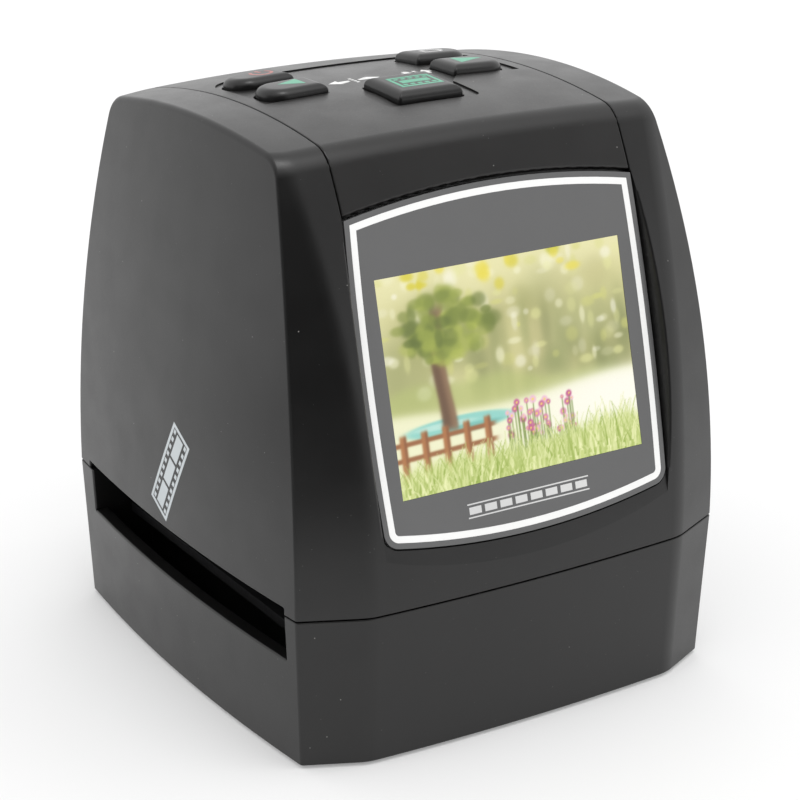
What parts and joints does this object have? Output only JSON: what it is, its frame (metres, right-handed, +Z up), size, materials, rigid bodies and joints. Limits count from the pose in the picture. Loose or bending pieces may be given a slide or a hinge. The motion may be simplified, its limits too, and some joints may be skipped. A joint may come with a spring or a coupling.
{
  "type": "film negative scanner",
  "caption": "Desktop film negative scanner with a tilted colour screen, push buttons on a curved top and a film channel through its base.",
  "frame": {"origin": "on the floor, under the middle of the body; the feet stand on z = 0", "axes": "+X to the right of someone facing the screen, +Y to the rear, +Z up; the screen faces -Y"},
  "size_m": [0.091, 0.0958, 0.1068],
  "materials": {
    "casing": "fine satin grain, moulded",
    "cover": "satin, very fine sparkle",
    "bezel": "polished",
    "trim": "white, satin",
    "display": "polished",
    "buttons": "satin",
    "inner_black": "dull black",
    "white_plastic": "white, matt",
    "opal": "opal",
    "board": "green solder mask",
    "led": "clear over yellow",
    "chips": "matt black",
    "steel": "bright zinc",
    "lens_glass": "coated",
    "rubber": "matt"
  },
  "bodies": {
    "scanner": {"base_housing": "casing", "upper_housing": "casing", "top_cover": "cover", "screen_bezel": "bezel", "bezel_trim": "trim", "lcd_panel": "display", "lcd_frame": "inner_black", "lcd_screws": "steel", "main_board": "board", "board_chips": "chips", "board_screws": "steel", "button_board": "board", "tact_switches": "chips", "button_board_screws": "steel", "film_bed": "inner_black", "diffuser": "opal", "light_box": "white_plastic", "backlight_board": "white_plastic", "backlight_leds": "led", "film_gate": "inner_black", "gate_screws": "steel", "lens_hood": "inner_black", "hood_screws": "steel", "lens_mount": "inner_black", "lens_barrel": "inner_black", "lens_glasses": "lens_glass", "sensor_board": "board", "image_sensor": "chips", "sensor_screws": "steel", "socket_board": "board", "socket_board_screws": "steel", "usb_socket": "steel", "av_jack": "inner_black", "card_socket": "steel", "holder_spring": "steel", "rubber_feet": "rubber", "housing_screws": "steel"},
    "power_key": {"power_button": "buttons", "power_plunger": "white_plastic"},
    "mode_key": {"mode_button": "buttons", "mode_plunger": "white_plastic"},
    "left_key": {"left_button": "buttons", "left_plunger": "white_plastic"},
    "right_key": {"right_button": "buttons", "right_plunger": "white_plastic"},
    "scan_key": {"scan_button": "buttons", "scan_plunger": "white_plastic"}
  },
  "joints": [
    {"name": "power_press", "type": "slide", "parent": "scanner", "child": "power_key", "axis": [0, 0, -1], "range_m": [0, 0.0006], "stiffness_N_per_m": 900},
    {"name": "mode_press", "type": "slide", "parent": "scanner", "child": "mode_key", "axis": [0, 0, -1], "range_m": [0, 0.0006], "stiffness_N_per_m": 900},
    {"name": "left_press", "type": "slide", "parent": "scanner", "child": "left_key", "axis": [0, 0, -1], "range_m": [0, 0.0006], "stiffness_N_per_m": 900},
    {"name": "right_press", "type": "slide", "parent": "scanner", "child": "right_key", "axis": [0, 0, -1], "range_m": [0, 0.0006], "stiffness_N_per_m": 900},
    {"name": "scan_press", "type": "slide", "parent": "scanner", "child": "scan_key", "axis": [0, 0, -1], "range_m": [0, 0.0006], "stiffness_N_per_m": 900}
  ]
}
